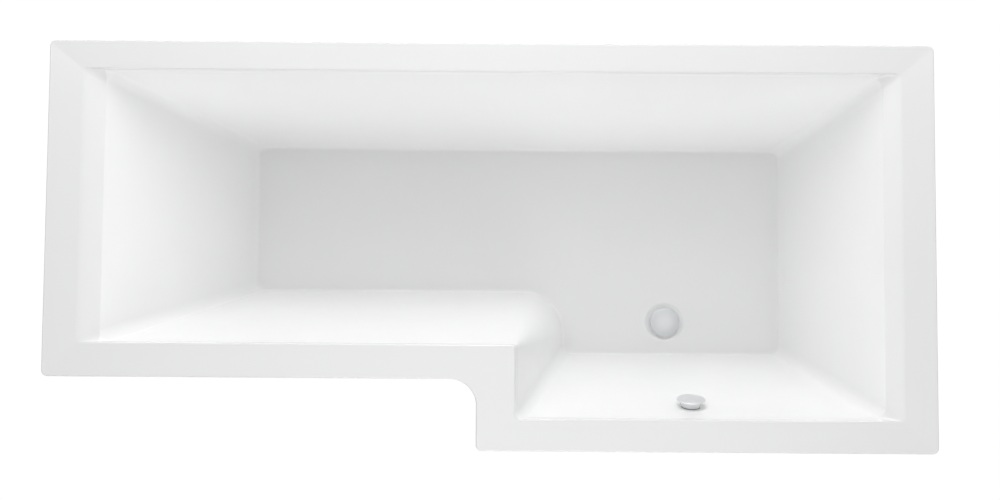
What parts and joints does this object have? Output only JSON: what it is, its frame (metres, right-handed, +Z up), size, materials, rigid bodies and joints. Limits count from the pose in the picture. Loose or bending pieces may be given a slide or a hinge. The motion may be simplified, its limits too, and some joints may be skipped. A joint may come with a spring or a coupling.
{
  "type": "L-shaped shower bath",
  "caption": "White L-shaped shower bath: moulded basin with a wide square shower end, pop-up waste with turning overflow control, cradle with adjustable feet.",
  "frame": {"origin": "on the floor under the middle of the rim", "axes": "+X to the waste end, +Y to the long wall side, +Z up"},
  "size_m": [1.7, 0.78, 0.55],
  "materials": {
    "acrylic": "white gloss acrylic sheet",
    "glassfibre": "glass-fibre and resin backing, matt and slightly uneven",
    "chipboard": "raw chipboard",
    "softwood": "raw softwood",
    "galvanised_steel": "folded galvanised steel",
    "zinc_fasteners": "bright zinc plate",
    "black_plastic": "black moulded plastic",
    "satin_metal": "satin chrome plate",
    "brass_inside": "plain turned brass",
    "white_fitting": "white moulded plastic",
    "grey_plastic": "grey moulded plastic",
    "hose_plastic": "soft ribbed white plastic",
    "cable_jacket": "black cable jacket",
    "rubber": "black sealing rubber"
  },
  "bodies": {
    "bath": {"acrylic_shell": "acrylic", "glassfibre_backing": "glassfibre", "baseboard": "chipboard", "back_batten": "softwood", "head_batten": "softwood", "tap_batten": "softwood", "narrow_front_batten": "softwood", "wide_front_batten": "softwood", "head_cradle_bar": "galvanised_steel", "tap_cradle_bar": "galvanised_steel", "head_back_strap": "galvanised_steel", "head_front_strap": "galvanised_steel", "tap_back_strap": "galvanised_steel", "tap_front_strap": "galvanised_steel", "strap_bolts": "zinc_fasteners", "board_screws": "zinc_fasteners", "rim_screws": "zinc_fasteners", "centre_foot_bracket": "galvanised_steel", "foot_lock_nuts": "zinc_fasteners", "head_wall_bracket": "galvanised_steel", "back_wall_bracket_a": "galvanised_steel", "back_wall_bracket_b": "galvanised_steel", "tap_wall_bracket": "galvanised_steel", "waste_flange": "satin_metal", "waste_top_seal": "rubber", "waste_back_seal": "rubber", "waste_body": "white_fitting", "lever_pin": "brass_inside", "lever_cover": "white_fitting", "control_cable": "cable_jacket", "overflow_collar": "satin_metal", "overflow_front_seal": "rubber", "overflow_back_seal": "rubber", "overflow_elbow": "white_fitting", "elbow_cover": "white_fitting", "cover_screws": "zinc_fasteners", "overflow_hose": "hose_plastic", "upper_hose_nut": "white_fitting", "lower_hose_nut": "white_fitting", "hose_seals": "rubber"},
    "head_back_foot": {"head_back_stud": "zinc_fasteners", "head_back_pad": "black_plastic"},
    "head_front_foot": {"head_front_stud": "zinc_fasteners", "head_front_pad": "black_plastic"},
    "tap_back_foot": {"tap_back_stud": "zinc_fasteners", "tap_back_pad": "black_plastic"},
    "tap_front_foot": {"tap_front_stud": "zinc_fasteners", "tap_front_pad": "black_plastic"},
    "centre_foot": {"centre_stud": "zinc_fasteners", "centre_pad": "black_plastic"},
    "control": {"overflow_knob": "satin_metal", "control_spindle": "brass_inside", "spindle_crank": "grey_plastic"},
    "lever": {"lift_lever": "grey_plastic"},
    "plug": {"plug_cap": "satin_metal", "plug_seal": "rubber", "plug_stem": "brass_inside"}
  },
  "joints": [
    {"name": "head_back_foot_screw", "type": "slide", "parent": "bath", "child": "head_back_foot", "axis": [0, 0, 1], "range_m": [-0.015, 0.015]},
    {"name": "head_front_foot_screw", "type": "slide", "parent": "bath", "child": "head_front_foot", "axis": [0, 0, 1], "range_m": [-0.015, 0.015]},
    {"name": "tap_back_foot_screw", "type": "slide", "parent": "bath", "child": "tap_back_foot", "axis": [0, 0, 1], "range_m": [-0.015, 0.015]},
    {"name": "tap_front_foot_screw", "type": "slide", "parent": "bath", "child": "tap_front_foot", "axis": [0, 0, 1], "range_m": [-0.015, 0.015]},
    {"name": "centre_foot_screw", "type": "slide", "parent": "bath", "child": "centre_foot", "axis": [0, 0, 1], "range_m": [-0.015, 0.015]},
    {"name": "knob_turn", "type": "hinge", "parent": "bath", "child": "control", "pos_m": [0.394, -0.30879, 0.466], "axis": [0, 0.9595, 0.2817], "range_deg": [0, 90]},
    {"name": "lever_swing", "type": "hinge", "parent": "bath", "child": "lever", "pos_m": [0.407, -0.145, 0.10031], "axis": [0, 1, 0], "range_deg": [0, 26.27]},
    {"name": "plug_lift", "type": "slide", "parent": "bath", "child": "plug", "axis": [0, 0, 1], "range_m": [0, 0.01]}
  ],
  "couplings": [
    {"joint": "lever_swing", "follows": "knob_turn", "ratio": 0.29192},
    {"joint": "plug_lift", "follows": "knob_turn", "m_per_rad": 0.0063662}
  ]
}
